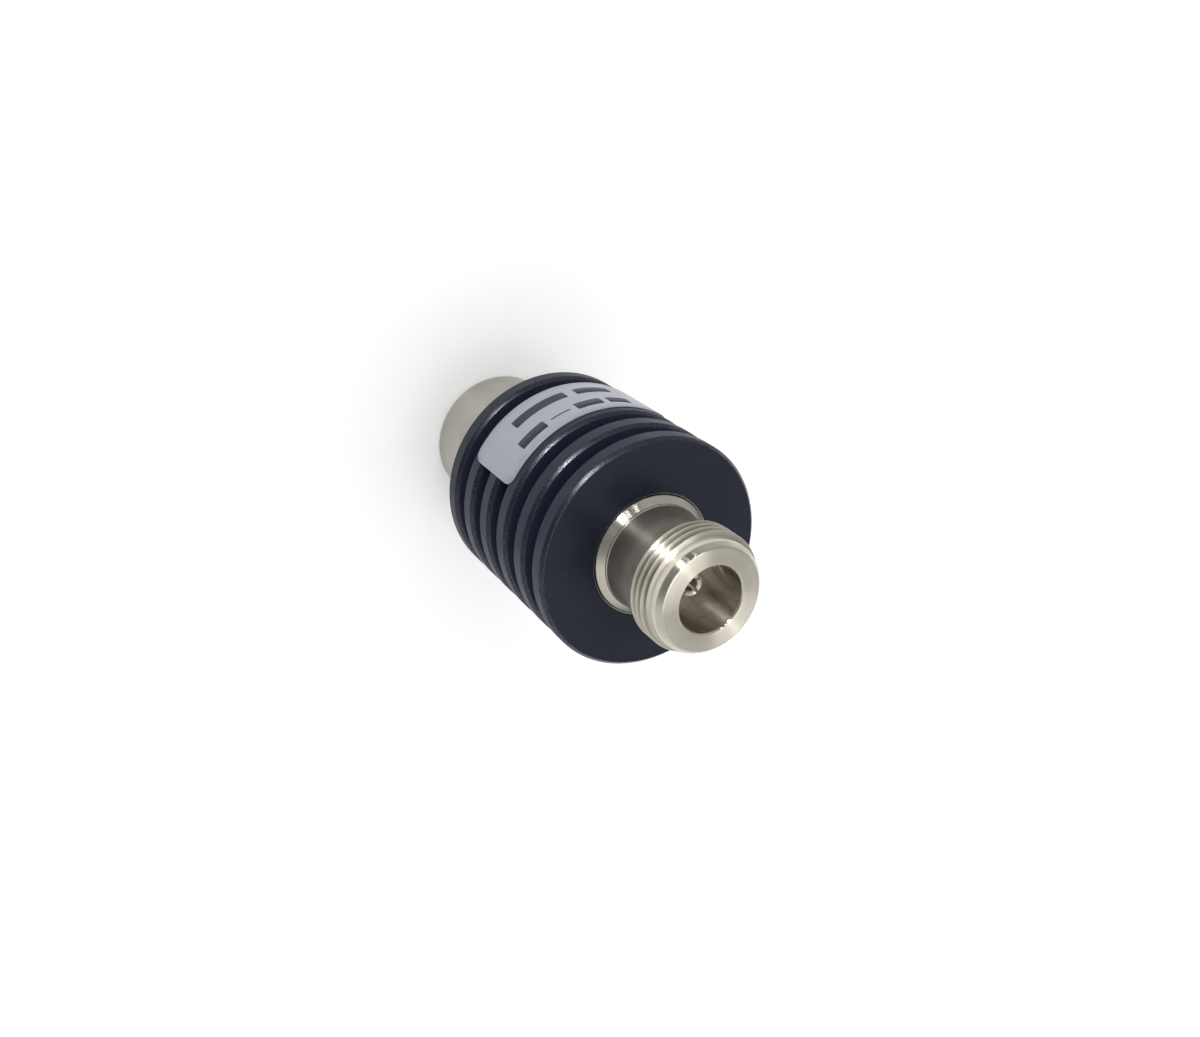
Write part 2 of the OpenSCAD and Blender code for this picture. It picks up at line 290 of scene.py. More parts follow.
def turned(name, rows, segments=224, slots=(), slot_w=0.0, slot_rows=None):
    """A lathe piece. A row is (radius, height, zone), and its radius and zone may depend on the angle.

    slots are the angles of saw cuts, slot_w their width, slot_rows the first and last row that they reach.
    """
    after = [*slots[1:], *(s + TURN for s in slots[:1])]
    spans = list(zip(slots, after))
    per_span = segments // len(slots) if slots else segments
    columns = per_span * max(1, len(slots))

    def angles(radius):
        if not slots:
            return [TURN * j / segments for j in range(segments)]
        half = math.asin(min(1.0, slot_w / 2 / radius))
        steps = [j / (per_span - 1) for j in range(per_span)]
        return [a + half + (b - a - 2 * half) * step for a, b in spans for step in steps]

    verts, zones, faces, starts = [], [], [], []
    for radius, z, zone in rows:
        starts.append(len(verts))
        if on_axis(radius):
            verts.append((0, 0, z * MM))
            zones.append(zone)
            continue
        for a in angles(radius):
            r = radius(a) if callable(radius) else radius
            verts.append((r * math.cos(a) * MM, r * math.sin(a) * MM, z * MM))
            zones.append(zone(a) if callable(zone) else zone)
    for i, (radius, _, _) in enumerate(rows):
        n = (i + 1) % len(rows)
        here, there = starts[i], starts[n]
        point_here, point_there = on_axis(radius), on_axis(rows[n][0])
        if point_here and point_there:
            continue
        sawn = slot_rows and slot_rows[0] <= i < slot_rows[1]
        for j in range(columns):
            if sawn and j % per_span == per_span - 1:
                continue
            k = (j + 1) % columns
            if point_here:
                faces.append((here, there + k, there + j))
            elif point_there:
                faces.append((here + j, here + k, there))
            else:
                faces.append((here + j, here + k, there + k, there + j))
    if slot_rows:
        first, last = slot_rows
        for s in range(len(slots)):
            near, far = s * per_span + per_span - 1, (s + 1) % len(slots) * per_span
            faces.append(tuple(starts[i] + near for i in range(last, first - 1, -1)))
            faces.append(tuple(starts[i] + far for i in range(first, last + 1)))
            foot, head = starts[first], starts[last]
            faces.append((foot + far, head + far, head + near, foot + near))
    return new_piece(name, verts, faces, zones)


def four_slots(turn):
    """Angles of two saw cuts across the axis."""
    return [math.radians(turn + 90 * k) for k in range(4)]


def saw_stem(piece, slot_low, slot_high):
    """Cuts the slot across a contact's stem that its flat tab sits in."""
    tab_low, tab_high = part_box("plug_tab")
    half = 2 * STEM_R * MM
    wide = (-half, half)
    deep = (tab_low.y - TAB_GAP * MM, tab_high.y + TAB_GAP * MM)
    tall = (slot_low * MM, slot_high * MM)
    corners = [(x, y, z) for z in tall for y in deep for x in wide]
    block = [(0, 2, 3, 1), (4, 5, 7, 6), (0, 1, 5, 4), (2, 6, 7, 3), (0, 4, 6, 2), (1, 3, 7, 5)]
    saw = new_piece("saw", corners, block)
    saw.data.polygons.foreach_set("use_smooth", [False] * len(block))
    cut = piece.modifiers.new("stem_slot", "BOOLEAN")
    cut.object = saw
    cut.operation = "DIFFERENCE"
    cut.solver = "EXACT"
    piece.modifiers.move(1, 0)  # before the normals of the flat faces
    with bpy.context.temp_override(object=piece, active_object=piece):
        bpy.ops.object.modifier_apply(modifier=cut.name)
    bpy.data.meshes.remove(saw.data)
    return piece


def heat_sink_piece():
    """Six fins with chamfered front edges, and the bores that take both couplings."""
    outline = [
        (REAR_BORE_R, SINK_REAR + REAR_BORE_EDGE, 0.05),
        (REAR_BORE_R + REAR_BORE_EDGE, SINK_REAR, 0.05),
    ]
    for i in range(FIN_COUNT):
        z = SINK_REAR + i * FIN_PITCH
        foremost = i == FIN_COUNT - 1
        outline += [
            (SINK_R - FIN_REAR_BREAK, z, 0.05, "chamfer"),
            (SINK_R, z + FIN_REAR_BREAK, 0.05, "land"),
            (SINK_R, z + FIN_T - FIN_CHAMFER, 0.1, "chamfer"),
            (SINK_R - FIN_CHAMFER, z + FIN_T, 0.1, "plain" if foremost else "groove"),
        ]
        if not foremost:
            outline += [
                (FIN_ROOT_R, z + FIN_T, ROOT_CORNER, "groove"),
                (FIN_ROOT_R, z + FIN_PITCH, ROOT_CORNER, "groove"),
            ]
    outline += [
        (FACE_BORE_R + FACE_BORE_EDGE, SINK_FACE, 0.02, "bare"),
        (FACE_BORE_R, SINK_FACE - FACE_BORE_EDGE, 0.02),
        (FACE_BORE_R, JACK_SEAT, 0.05),
        (REAR_BORE_R, JACK_SEAT, 0.05),
    ]
    return turned("finned_heat_sink", eased(outline), segments=256)


def jack_piece():
    """The jack's outer conductor: spigot, collar, filleted neck, thread, pilot, rim and stepped bore."""
    collar = [
        (BEAD_RECESS_R, JACK_FOOT, 0.03),
        (SPIGOT_R, JACK_FOOT, 0.1),
        (SPIGOT_R, JACK_SEAT, 0.05),
        (COLLAR_R, JACK_SEAT, 0.1),
        (COLLAR_R, COLLAR_TOP, 0.06),
        (STEP_R, STEP_LOW, 0.05),
        (STEP_R, STEP_HIGH, 0.05),
    ]
    neck = [
        (NECK_R + 0.1, COLLAR_TOP + 1.05, 0.1, "neck"),
        (NECK_R + 0.03, COLLAR_TOP + 1.7, 0.6, "neck"),
        (NECK_R, COLLAR_TOP + 2.6, 0.9, "neck"),
        (NECK_R, COLLAR_TOP + 4.4, 1.6, "neck_top"),
    ]
    barrel = [
        (NECK_R, JACK_THREAD_LOW - THREAD_LEAD, 0.4, "thread"),
        (THREAD_R, JACK_THREAD_LOW, 0.3, "thread"),
        (THREAD_R, JACK_THREAD_HIGH, 0.08),
        (PILOT_R, PILOT_LOW, 0.1),
        (PILOT_R, PILOT_HIGH, 0.16),
    ]
    mouth = [
        (RIM_EDGE_R, JACK_RIM - RIM_EDGE, 0.1),
        (RIM_R, JACK_RIM, 0.08, "land"),
        (MOUTH_R + MOUTH_EDGE, JACK_RIM, 0.04),
        (MOUTH_R, JACK_RIM - MOUTH_EDGE, 0.06, "groove"),
        (MOUTH_R, JACK_SHOULDER, 0.05, "groove"),
        (LINE_R, JACK_SHOULDER, 0.08, "groove"),
        (LINE_R, JACK_BEAD, 0.02, "groove"),
        (BEAD_RECESS_R, JACK_BEAD, 0.03),
    ]
    rows = eased(collar + neck + barrel + mouth)
    first = next(i for i, (_, z, _) in enumerate(rows) if z > JACK_THREAD_START)
    last = max(i for i, (r, z, _) in enumerate(rows) if r > PILOT_R + TOUCH and z > JACK_THREAD_HIGH)
    cut = cut_thread(rows, first, last, THREAD_R, THREAD_DEPTH, JACK_THREAD_STEP, THREAD_FADE)
    return turned("threaded_jack", cut, segments=288)


def nut_piece():
    """The round coupling nut: ring groove and lip at the top, relief and thread below them."""
    outside = [
        (NUT_LEAD_R, 0, 0.04),
        (NUT_R - NUT_EDGE, 0, 0.15),
        (NUT_R, NUT_EDGE, 0.15),
        (NUT_R, NUT_TOP - NUT_EDGE, 0.15),
        (NUT_R - NUT_EDGE, NUT_TOP, 0.15),
    ]
    inside = [
        (NUT_LIP_R, NUT_TOP, 0.12),
        (NUT_LIP_R, RING_HIGH + RING_PLAY, 0.03),
        (NUT_GROOVE_R, RING_HIGH + RING_PLAY, 0.03),
        (NUT_GROOVE_R, RING_LOW - RING_PLAY, 0.03),
        (NUT_LIP_R, RING_LOW - RING_PLAY, 0.03),
        (NUT_LIP_R, NUT_LIP_LOW, 0.1, "groove"),
        (NUT_RELIEF_R, NUT_LIP_LOW, 0.15, "groove"),
        (NUT_RELIEF_R, NUT_RELIEF_LOW, 0.1, "groove"),
        (NUT_CREST_R, NUT_THREAD_TOP, 0.05, "groove"),
        (NUT_CREST_R, NUT_LEAD_H, 0.05, "groove"),
    ]
    rows = eased(outside + inside)
    outer_rows = (ROUND_STEPS + 1) * len(outside)
    first = next(i for i, (r, z, _) in enumerate(rows)
                 if i >= outer_rows and r < NUT_RELIEF_R - TOUCH and z < NUT_RELIEF_LOW)
    depth = NUT_ROOT_R - NUT_CREST_R
    cut = cut_thread(rows, first, len(rows) - 1, NUT_CREST_R, depth, NUT_THREAD_STEP, inside=True)
    return turned("coupling_nut_turned", cut)


def plug_piece():
    """The plug's outer conductor: slotted outer contact, shoulder, ring groove, flange and spigot."""
    ring_top = RING_HIGH + RING_PLAY
    outline = [
        (LINE_R, PLUG_BEAD, 0.02, "groove"),
        (LINE_R, PLUG_SLOT_TOP, 0, "groove"),
        (LINE_R, PLUG_END, 0.06),
        (PLUG_CONTACT_R - PLUG_EDGE, PLUG_END, 0.04),
        (PLUG_CONTACT_R, PLUG_END + PLUG_EDGE, 0.05),
        (PLUG_CONTACT_R, PLUG_SLOT_TOP, 0),
        (PLUG_CONTACT_R, PLUG_SHOULDER, 0.05),
        (SPIGOT_R - PLUG_EDGE, PLUG_SHOULDER, 0.05),
        (SPIGOT_R, PLUG_SHOULDER + PLUG_EDGE, 0.05),
        (SPIGOT_R, RING_GROOVE_LOW, 0.03),
        (RING_GROOVE_R, RING_GROOVE_LOW, 0.03),
        (RING_GROOVE_R, ring_top, 0.03),
        (SPIGOT_R, ring_top, 0.03),
        (SPIGOT_R, NUT_FLANGE, 0.05),
        (PLUG_FLANGE_R - PLUG_EDGE, NUT_FLANGE, 0.06),
        (PLUG_FLANGE_R, NUT_FLANGE + PLUG_EDGE, 0.06),
        (PLUG_FLANGE_R, SINK_REAR, 0.05),
        (SPIGOT_R, SINK_REAR, 0.05),
        (SPIGOT_R, PLUG_TOP, 0.1),
        (BEAD_RECESS_R, PLUG_TOP, 0.05),
        (BEAD_RECESS_R, PLUG_BEAD, 0.03),
    ]
    rows = eased(outline)
    inner, outer = (i for i, (_, z, _) in enumerate(rows) if z == PLUG_SLOT_TOP)
    slots = four_slots(PLUG_SLOT_TURN)
    return turned("slotted_plug_body", rows, slots=slots, slot_w=PLUG_SLOT_W, slot_rows=(inner, outer))


def socket_piece():
    """The jack's socket contact, with four spring fingers and a slotted stem."""
    outline = [
        (0, SOCKET_FOOT, 0),
        (STEM_R, SOCKET_FOOT, 0.1),
        (STEM_R, JACK_BEAD, 0.03),
        (CONTACT_R, JACK_BEAD, 0.08),
        (CONTACT_R, SOCKET_SLOT_FOOT, 0),
        (CONTACT_R, SOCKET_TIP - 0.3, 0.15),
        (CONTACT_R - 0.13, SOCKET_TIP - 0.09, 0.1),
        (CONTACT_R - 0.36, SOCKET_TIP, 0.1),
        (SOCKET_BORE_R + SOCKET_EDGE, SOCKET_TIP, 0.06),
        (SOCKET_BORE_R, SOCKET_TIP - SOCKET_EDGE, 0.1, "groove"),
        (SOCKET_BORE_R, SOCKET_SLOT_FOOT, 0, "groove"),
        (SOCKET_BORE_R, SOCKET_BORE_FOOT, 0.05, "groove"),
        (0, SOCKET_BORE_FOOT - SOCKET_DRILL_POINT, 0, "groove"),
    ]
    rows = eased(outline)
    outer, inner = (i for i, (_, z, _) in enumerate(rows) if z == SOCKET_SLOT_FOOT)
    slots = four_slots(SOCKET_SLOT_TURN)
    socket = turned("jack_socket", rows, CONTACT_SEGMENTS, slots, SOCKET_SLOT_W, (outer, inner))
    return saw_stem(socket, SOCKET_FOOT - SAW_RUNOUT, SOCKET_FOOT + STEM_SLOT_L)


def pin_piece():
    """The plug's centre pin, with a slotted stem."""
    outline = [
        (0, PIN_TIP, 0),
        (PIN_TIP_R, PIN_TIP, 0.18),
        (PIN_R, PIN_TIP + PIN_TAPER, 0.3),
        (PIN_R, PIN_SHOULDER, 0.06),
        (CONTACT_R, PIN_SHOULDER, 0.14),
        (CONTACT_R, PLUG_BEAD, 0.05),
        (STEM_R, PLUG_BEAD, 0.03),
        (STEM_R, PIN_END, 0.1),
        (0, PIN_END, 0),
    ]
    pin = turned("plug_pin", eased(outline), CONTACT_SEGMENTS)
    return saw_stem(pin, PIN_END - STEM_SLOT_L, PIN_END + SAW_RUNOUT)


def gasket_piece():
    """The silicone ring on the plug's shoulder."""
    low, high = heights("gasket")
    outline = [
        (GASKET_IN_R, low, 0.35),
        (GASKET_OUT_R, low, 0.35),
        (GASKET_OUT_R, high, 0.2),
        (GASKET_IN_R, high, 0.2),
    ]
    return turned("rubber_gasket", eased(outline, steps=6), segments=160)


def wrapped_plate(angle_low, angle_high, z_low, z_high, r_in, r_out, corner, columns=96, levels=6):
    """A thin closed plate bent round the axis, with rounded corners. Angles are in degrees."""
    reach = math.degrees(corner / r_out)
    middle = angle_high - angle_low - 2 * reach
    inner = [angle_low + reach + middle * j / columns for j in range(columns + 1)]
    bow = [1 - math.cos(k / CORNER_STEPS * math.pi / 2) for k in range(CORNER_STEPS)]
    across = [angle_low + reach * b for b in bow] + inner + [angle_high - reach * b for b in reversed(bow)]
    verts, faces = [], []
    for r in (r_out, r_in):
        for deg in across:
            off = max(0.0, angle_low + reach - deg, deg - angle_high + reach) / reach
            inset = corner * (1 - math.sqrt(max(0.0, 1 - off * off)))
            a = math.radians(deg)
            for k in range(levels + 1):
                z = z_low + inset + (z_high - z_low - 2 * inset) * k / levels
                verts.append((r * math.cos(a) * MM, r * math.sin(a) * MM, z * MM))
    high, side = levels + 1, len(across) * (levels + 1)
    for c in range(len(across) - 1):
        for k in range(levels):
            p = c * high + k
            faces.append((p, p + high, p + high + 1, p + 1))
            faces.append((side + p + 1, side + p + high + 1, side + p + high, side + p))
        for p, q in ((c * high, (c + 1) * high), ((c + 1) * high + levels, c * high + levels)):
            faces.append((p, side + p, side + q, q))
    for k in range(levels):
        p, q = k, (len(across) - 1) * high + k
        faces.append((p, p + 1, side + p + 1, side + p))
        faces.append((q, side + q, side + q + 1, q + 1))
    return verts, faces


def label_piece():
    """The label's film, over three fins and the grooves between them."""
    start, end = LABEL_MID - LABEL_ARC / 2, LABEL_MID + LABEL_ARC / 2
    face_r = LABEL_OUT_R - INK_T
    verts, faces = wrapped_plate(start, end, LABEL_LOW, LABEL_HIGH, LABEL_IN_R, face_r, LABEL_CORNER)
    return new_piece("label_film", verts, faces)


def ink_piece():
    """The printed bars, which stand on the film and reach a little into it."""
    verts, faces = [], []
    foot_r = LABEL_OUT_R - 4 * INK_T
    for start, end, z_low, z_high in INK_BARS:
        v, f = wrapped_plate(start, end, z_low, z_high, foot_r, LABEL_OUT_R, INK_CORNER, columns=12, levels=2)
        faces += [tuple(len(verts) + i for i in face) for face in f]
        verts += v
    return new_piece("label_print", verts, faces)


def film_piece():
    """The resistive film on the tile, a thin plate with a slit where it was trimmed to value."""
    low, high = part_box("attenuator_chip")
    left, right = low.x / MM + FILM_SIDE, high.x / MM - FILM_SIDE
    foot, head = low.z / MM + FILM_END, high.z / MM - FILM_END
    slit_low, slit_high = (foot + head) / 2 - TRIM_W / 2, (foot + head) / 2 + TRIM_W / 2
    slit_end = right - TRIM_L
    edge = [
        (left, foot),
        (right, foot),
        (right, slit_low),
        (slit_end, slit_low),
        (slit_end, slit_high),
        (right, slit_high),
        (right, head),
        (left, head),
    ]
    count = len(edge)
    face_y = high.y / MM
    verts = [(x * MM, y * MM, z * MM) for y in (face_y, face_y + FILM_T) for x, z in edge]
    faces = [tuple(range(count)), tuple(range(2 * count - 1, count - 1, -1))]
    faces += [(i, i + count, (i + 1) % count + count, (i + 1) % count) for i in range(count)]
    return new_piece("resistor_film", verts, faces)


pieces = {
    "heat_sink": heat_sink_piece(),
    "jack_body": jack_piece(),
    "coupling_nut": nut_piece(),
    "plug_body": plug_piece(),
    "jack_contact": socket_piece(),
    "plug_contact": pin_piece(),
    "gasket": gasket_piece(),
    "rating_label": label_piece(),
}
for node, piece in pieces.items():
    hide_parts(node)
    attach(piece, "nut" if node == "coupling_nut" else "housing")
label_ink = ink_piece()
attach(label_ink, "housing")
tile_film = film_piece()
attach(tile_film, "housing")


# Material nodes


def put(tree, kind, inputs=None, **settings):
    """Adds a node. An input takes a number, a colour or another node's output."""
    made = tree.nodes.new(kind)
    for key, value in settings.items():
        setattr(made, key, value)
    for key, value in (inputs or {}).items():
        if isinstance(value, bpy.types.NodeSocket):
            tree.links.new(value, made.inputs[key])
        else:
            made.inputs[key].default_value = value
    return made


def calc(tree, operation, a, b=0.0, clamp=False):
    """A number worked out from two others."""
    return put(tree, "ShaderNodeMath", {0: a, 1: b}, operation=operation, use_clamp=clamp).outputs[0]


def times(tree, value, *factors):
    """A number times each of the factors."""
    for factor in factors:
        value = calc(tree, "MULTIPLY", value, factor)
    return value


def total(tree, start, *shares):
    """A start value plus shares, each of which is a mask and how much it adds at most."""
    for mask, most in shares:
        start = calc(tree, "ADD", start, times(tree, mask, most))
    return start


def blend(tree, share, a, b):
    """A colour between a and b."""
    made = put(tree, "ShaderNodeMix", {"Factor": share}, data_type="RGBA")
    for socket, value in ((made.inputs[6], a), (made.inputs[7], b)):
        if isinstance(value, bpy.types.NodeSocket):
            tree.links.new(value, socket)
        else:
            socket.default_value = (*value, 1)
    return made.outputs[2]


def darker(color, share):
    """A colour times a share of 1."""
    return tuple(c * share for c in color)


def ramp(tree, value, low, high):
    """A soft step from 0 at low to 1 at high."""
    inputs = {"Value": value, "From Min": low, "From Max": high}
    return put(tree, "ShaderNodeMapRange", inputs, interpolation_type="SMOOTHSTEP").outputs[0]


def noise(tree, scale, detail, **where):
    """A noise pattern, along the line W or over the place Vector."""
    lined = {"noise_dimensions": "1D"} if "W" in where else {}
    return put(tree, "ShaderNodeTexNoise", {**where, "Scale": scale, "Detail": detail}, **lined).outputs[0]


def link_bump(tree, shader, height, strength, distance):
    """Sets the shader's normal from a height. The distance is in metres."""
    bump = put(tree, "ShaderNodeBump", {"Strength": strength, "Distance": distance, "Height": height})
    tree.links.new(bump.outputs[0], shader.inputs["Normal"])


def effect(name, inputs, outputs):
    """An empty node group with named sockets, and its input and output nodes."""
    group = bpy.data.node_groups.new(name, "ShaderNodeTree")
    for label, value in inputs.items():
        socket = group.interface.new_socket(label, in_out="INPUT", socket_type="NodeSocketFloat")
        socket.default_value = value
    for label in outputs:
        group.interface.new_socket(label, in_out="OUTPUT", socket_type="NodeSocketFloat")
    return group, group.nodes.new("NodeGroupInput"), group.nodes.new("NodeGroupOutput")


def millimetres(tree):
    """The place on the piece in millimetres."""
    place = tree.nodes.new("ShaderNodeTexCoord").outputs["Object"]
    return put(tree, "ShaderNodeVectorMath", {0: place, "Scale": 1 / MM}, operation="SCALE").outputs[0]


# Effects that the finishes share


def turning_marks_effect():
    """Fine lines round the axis, as a lathe tool leaves them."""
    group, given, result = effect("turning_marks", {"Lines per mm": 6.0}, ["Height", "Shade"])
    face_feed, broad_feed = 1.4, 0.13
    xyz = put(group, "ShaderNodeSeparateXYZ", {0: millimetres(group)})
    flat = put(group, "ShaderNodeCombineXYZ", {0: xyz.outputs[0], 1: xyz.outputs[1]})
    radius = put(group, "ShaderNodeVectorMath", {0: flat.outputs[0]}, operation="LENGTH").outputs["Value"]
    along = calc(group, "ADD", times(group, radius, face_feed), xyz.outputs[2])
    feed = times(group, along, given.outputs["Lines per mm"])
    fine = noise(group, 1.0, 2.0, W=feed)
    broad = noise(group, 1.0, 1.0, W=times(group, feed, broad_feed))
    group.links.new(fine, result.inputs["Height"])
    group.links.new(ramp(group, broad, 0.3, 0.7), result.inputs["Shade"])
    return group


def grit_effect():
    """Fine grain of a blasted or plated surface, and the few small nicks and hairlines of use."""
    inputs = {"Grain mm": 0.2, "Nick mm": 1.2, "Nick share": 0.1}
    group, given, result = effect("grit_and_nicks", inputs, ["Grain", "Nicks", "Hairlines"])
    nick_reach, hair_width = 0.16, 0.0025
    at = millimetres(group)
    grain_scale = calc(group, "DIVIDE", 1.0, given.outputs["Grain mm"])
    nick_scale = calc(group, "DIVIDE", 1.0, given.outputs["Nick mm"])
    fine = noise(group, grain_scale, 2.0, Vector=at)
    cells = put(group, "ShaderNodeTexVoronoi", {"Vector": at, "Scale": nick_scale})
    pick = put(group, "ShaderNodeSeparateColor", {0: cells.outputs["Color"]})
    chosen = calc(group, "LESS_THAN", pick.outputs[0], given.outputs["Nick share"])
    small = calc(group, "LESS_THAN", cells.outputs["Distance"], times(group, pick.outputs[1], nick_reach))
    drift = noise(group, 0.22, 0.0, Vector=at)
    place = noise(group, 0.30, 1.0, Vector=at)
    line = calc(group, "COMPARE", drift, 0.5)
    line.node.inputs[2].default_value = hair_width
    group.links.new(times(group, line, ramp(group, place, 0.62, 0.70)), result.inputs["Hairlines"])
    group.links.new(fine, result.inputs["Grain"])
    group.links.new(times(group, chosen, small), result.inputs["Nicks"])
    return group


def smudge_effect():
    """Broad soft patches that handling leaves in the shine."""
    group, given, result = effect("smudges", {"Patch mm": 4.0}, ["Smudge"])
    scale = calc(group, "DIVIDE", 1.0, given.outputs["Patch mm"])
    cloud = noise(group, scale, 1.0, Vector=millimetres(group))
    group.links.new(ramp(group, cloud, 0.3, 0.7), result.inputs["Smudge"])
    return group


TURNING_MARKS = turning_marks_effect()
GRIT = grit_effect()
SMUDGES = smudge_effect()


# Finishes


def use(tree, group, **values):
    """Places a node group. A value's name is the socket's, with _ for a space."""
    made = tree.nodes.new("ShaderNodeGroup")
    made.node_tree = group
    for key, value in values.items():
        made.inputs[key.replace("_", " ")].default_value = value
    return made.outputs


def finish(name, **sockets):
    """A material with one Principled shader and its constant sockets set."""
    made = bpy.data.materials.new(name)
    made.use_nodes = True
    shader = made.node_tree.nodes["Principled BSDF"]
    for key, value in sockets.items():
        shader.inputs[key.replace("_", " ")].default_value = value
    return made, made.node_tree, shader


def zone_masks(tree):
    """Land, chamfer, groove and corner masks of a turned piece."""
    zone = put(tree, "ShaderNodeAttribute", attribute_name="zone")
    parts = put(tree, "ShaderNodeSeparateColor", {0: zone.outputs["Color"]})
    return (*parts.outputs, zone.outputs["Alpha"])


def black_anodise():
    """Satin black dye on turned aluminium, scaly on the chamfers, nicked at edges, bare round the jack, with
    painted fill light in the grooves.
    """
    face_dye, handled_dye = (0.0100, 0.0110, 0.0190), (0.0130, 0.0142, 0.0235)
    land_dye, groove_dye_painted_fill = (0.0115, 0.0135, 0.0270), (0.0330, 0.0365, 0.0700)
    dull_scale_dye, bright_scale_dye = (0.0118, 0.0131, 0.0238), (0.0006, 0.0016, 0.0125)
    bare_metal = (0.60, 0.61, 0.63)
    made, tree, shader = finish("black_anodise", Specular_IOR_Level=0.27, Specular_Tint=(0.74, 0.80, 1.0, 1),
                                Coat_Roughness=0.275, Coat_IOR=1.75)
    land, chamfer, groove, corner = zone_masks(tree)
    grit = use(tree, GRIT, Grain_mm=0.16, Nick_mm=1.1, Nick_share=0.07)
    edge_grit = use(tree, GRIT, Grain_mm=0.28, Nick_mm=0.7, Nick_share=0.14)
    flake = use(tree, GRIT, Grain_mm=0.18, Nick_mm=1.0, Nick_share=0.0)
    marks = use(tree, TURNING_MARKS, Lines_per_mm=4.0)
    smudge = use(tree, SMUDGES, Patch_mm=5.0)["Smudge"]
    bare = ramp(tree, calc(tree, "ADD", land, chamfer), 1.4, 1.9)
    scale = ramp(tree, flake["Grain"], 0.40, 0.60)
    dye = blend(tree, times(tree, smudge, 0.5), face_dye, handled_dye)
    dye = blend(tree, land, dye, land_dye)
    # painted fill light: the grooves get a lighter dye than the lands to lift their shade
    dye = blend(tree, groove, dye, groove_dye_painted_fill)
    dye = blend(tree, chamfer, dye, blend(tree, scale, dull_scale_dye, bright_scale_dye))
    edge_nicks = times(tree, edge_grit["Nicks"], calc(tree, "MAXIMUM", corner, chamfer), 0.2)
    nicks = calc(tree, "MAXIMUM", edge_nicks, times(tree, grit["Nicks"], land, 0.25))
    worn = calc(tree, "MAXIMUM", nicks, times(tree, grit["Hairlines"], 0.07))
    pale = calc(tree, "MAXIMUM", worn, bare, clamp=True)
    tree.links.new(blend(tree, pale, dye, bare_metal), shader.inputs["Base Color"])
    tree.links.new(bare, shader.inputs["Metallic"])
    tree.links.new(times(tree, total(tree, 0.12, (scale, 0.64)), chamfer), shader.inputs["Coat Weight"])
    shine = total(tree, 0.30, (smudge, 0.10), (land, 0.12), (chamfer, -0.04))
    tree.links.new(shine, shader.inputs["Roughness"])
    edge_grain = times(tree, edge_grit["Grain"], chamfer)
    depth = total(tree, 0.0, (grit["Grain"], 0.05), (edge_grain, 0.22), (marks["Height"], 0.04))
    link_bump(tree, shader, depth, 1.0, 0.00005)
    return made


def satin_nickel(name, bright, deep, roughness, lines):
    """Nickel plate over turned brass: streaked round the axis, with painted shade that darkens the neck, and
    browner inside.
    """
    made, tree, shader = finish(name, Metallic=1.0, Anisotropic=0.95, Anisotropic_Rotation=0.25)
    land, chamfer, groove, _ = zone_masks(tree)
    marks = use(tree, TURNING_MARKS, Lines_per_mm=lines)
    grit = use(tree, GRIT, Grain_mm=0.25, Nick_mm=2.2, Nick_share=0.05)
    smudge = use(tree, SMUDGES, Patch_mm=3.5)["Smudge"]
    plate = blend(tree, times(tree, smudge, 0.35), bright, darker(bright, 0.86))
    plate = blend(tree, times(tree, marks["Shade"], 0.25), plate, darker(bright, 0.8))
    # painted shade at the neck: the chamfer share darkens the plate there; the thread roots are darkened the
    # same way
    plate = blend(tree, chamfer, plate, darker(bright, 0.22))
    plate = blend(tree, groove, plate, deep)
    plate = blend(tree, times(tree, grit["Nicks"], 0.4), plate, darker(bright, 0.55))
    tree.links.new(plate, shader.inputs["Base Color"])
    shine = total(tree, roughness, (smudge, 0.06), (land, 0.12), (groove, 0.03), (chamfer, 0.13))
    tree.links.new(shine, shader.inputs["Roughness"])
    link_bump(tree, shader, marks["Height"], 0.06, 0.000004)
    tangent = put(tree, "ShaderNodeTangent", direction_type="RADIAL", axis="Z")
    tree.links.new(tangent.outputs[0], shader.inputs["Tangent"])
    return made


def plain_metal(name, color, roughness):
    """Turned or stamped metal of the inner pieces."""
    made, tree, shader = finish(name, Metallic=1.0)
    marks = use(tree, TURNING_MARKS, Lines_per_mm=5.0)
    smudge = use(tree, SMUDGES, Patch_mm=2.5)["Smudge"]
    metal = blend(tree, times(tree, smudge, 0.5), color, darker(color, 0.78))
    tree.links.new(metal, shader.inputs["Base Color"])
    tree.links.new(total(tree, roughness, (smudge, 0.1)), shader.inputs["Roughness"])
    link_bump(tree, shader, marks["Height"], 0.2, 0.00002)
    return made


def soft_solid(name, color, shade, roughness, grain_mm, bump_mm, specular=0.4):
    """Film, ink, rubber, bead or tile: a plain body colour with a fine grain."""
    made, tree, shader = finish(name, Specular_IOR_Level=specular)
    grain = use(tree, GRIT, Grain_mm=grain_mm, Nick_mm=2.0, Nick_share=0.0)["Grain"]
    smudge = use(tree, SMUDGES, Patch_mm=3.0)["Smudge"]
    body = blend(tree, times(tree, smudge, 0.5), color, shade)
    body = blend(tree, times(tree, ramp(tree, grain, 0.35, 0.65), 0.3), body, shade)
    tree.links.new(body, shader.inputs["Base Color"])
    tree.links.new(total(tree, roughness, (smudge, 0.08)), shader.inputs["Roughness"])
    link_bump(tree, shader, grain, 0.3, bump_mm * MM)
    return made


